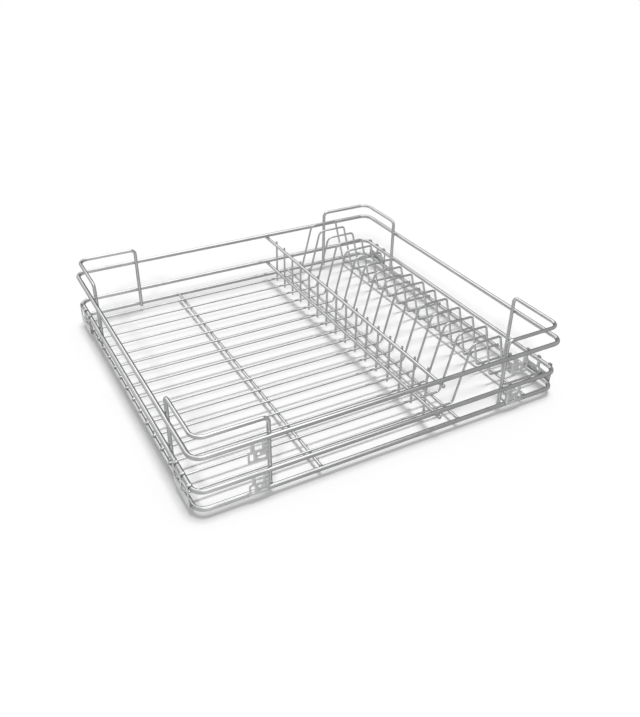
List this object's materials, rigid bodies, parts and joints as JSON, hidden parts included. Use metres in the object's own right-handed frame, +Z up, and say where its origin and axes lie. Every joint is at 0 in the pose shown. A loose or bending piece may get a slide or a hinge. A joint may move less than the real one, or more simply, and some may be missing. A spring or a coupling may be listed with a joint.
{
  "type": "pull-out dish rack",
  "caption": "Pull-out dish rack of welded chrome wire for a kitchen base cabinet: open deck, a slotted plate section, corner rails and stamped mounting brackets.",
  "frame": {"origin": "under the middle of the basket, at the height of the bottom rim's underside", "axes": "+X to the right, towards the plate section; +Y to the back of the cabinet; +Z up"},
  "size_m": [0.53, 0.506, 0.101],
  "materials": {
    "wire": "bright chrome plate on steel wire",
    "side_plate": "bright chrome plate on stamped sheet",
    "bracket": "satin zinc plate on stamped sheet"
  },
  "bodies": {
    "root": {"top_rim": "wire", "middle_rim": "wire", "bottom_rim": "wire", "handrail_front_left": "wire", "handrail_front_right": "wire", "handrail_back_left": "wire", "handrail_back_right": "wire", "bearer_left": "wire", "bearer_middle": "wire", "bearer_right": "wire", "divider_upper": "wire", "divider_lower": "wire", "deck_wire_01": "wire", "deck_wire_02": "wire", "deck_wire_03": "wire", "deck_wire_04": "wire", "deck_wire_05": "wire", "deck_wire_06": "wire", "deck_wire_07": "wire", "deck_wire_08": "wire", "deck_wire_09": "wire", "deck_wire_10": "wire", "deck_wire_11": "wire", "deck_wire_12": "wire", "deck_wire_13": "wire", "deck_wire_14": "wire", "deck_wire_15": "wire", "deck_wire_16": "wire", "upright_01": "wire", "upright_02": "wire", "upright_03": "wire", "upright_04": "wire", "upright_05": "wire", "upright_06": "wire", "upright_07": "wire", "upright_08": "wire", "upright_09": "wire", "upright_10": "wire", "upright_11": "wire", "upright_12": "wire", "upright_13": "wire", "upright_14": "wire", "upright_15": "wire", "upright_16": "wire", "side_plate_front_left": "side_plate", "side_plate_front_right": "side_plate", "side_plate_back_left": "side_plate", "side_plate_back_right": "side_plate", "front_bracket_left_upper": "bracket", "front_bracket_left_lower": "bracket", "front_bracket_right_upper": "bracket", "front_bracket_right_lower": "bracket"}
  },
  "joints": []
}
